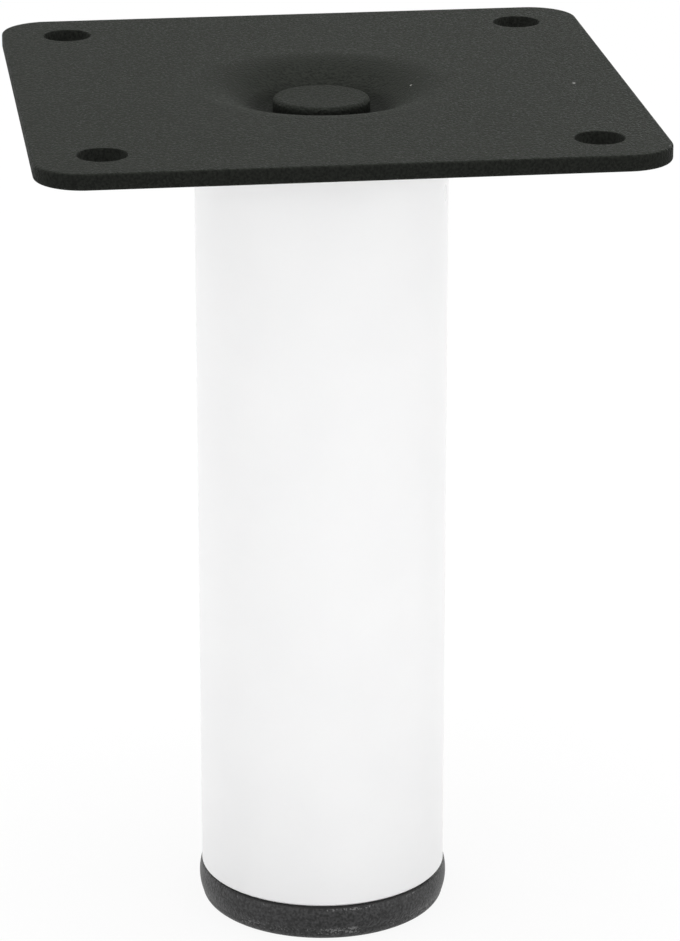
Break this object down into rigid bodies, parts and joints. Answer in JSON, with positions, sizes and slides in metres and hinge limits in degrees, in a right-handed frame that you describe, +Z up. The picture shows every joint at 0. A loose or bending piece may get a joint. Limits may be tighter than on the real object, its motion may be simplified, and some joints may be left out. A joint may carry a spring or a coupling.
{
  "type": "furniture leg",
  "caption": "Round steel furniture leg with a dished square mounting plate, corner screw holes and a plastic foot plug.",
  "frame": {"origin": "centre of the foot plug's underside, on the floor", "axes": "+Z up along the tube's axis to the mounting plate; X and Y parallel to the plate's sides"},
  "size_m": [0.1, 0.1, 0.145],
  "materials": {
    "plate_coat": "fine-textured matt black powder coat on steel",
    "tube_coat": "smooth semi-gloss white powder coat on steel",
    "plated_steel": "bright zinc plate",
    "foot_plastic": "moulded black plastic, fine grain"
  },
  "bodies": {
    "root": {"mounting_plate": "plate_coat", "plate_bolt": "plate_coat", "leg_tube": "tube_coat", "nut_disc": "plated_steel", "weld_nut": "plated_steel", "foot_plug": "foot_plastic"}
  },
  "joints": []
}
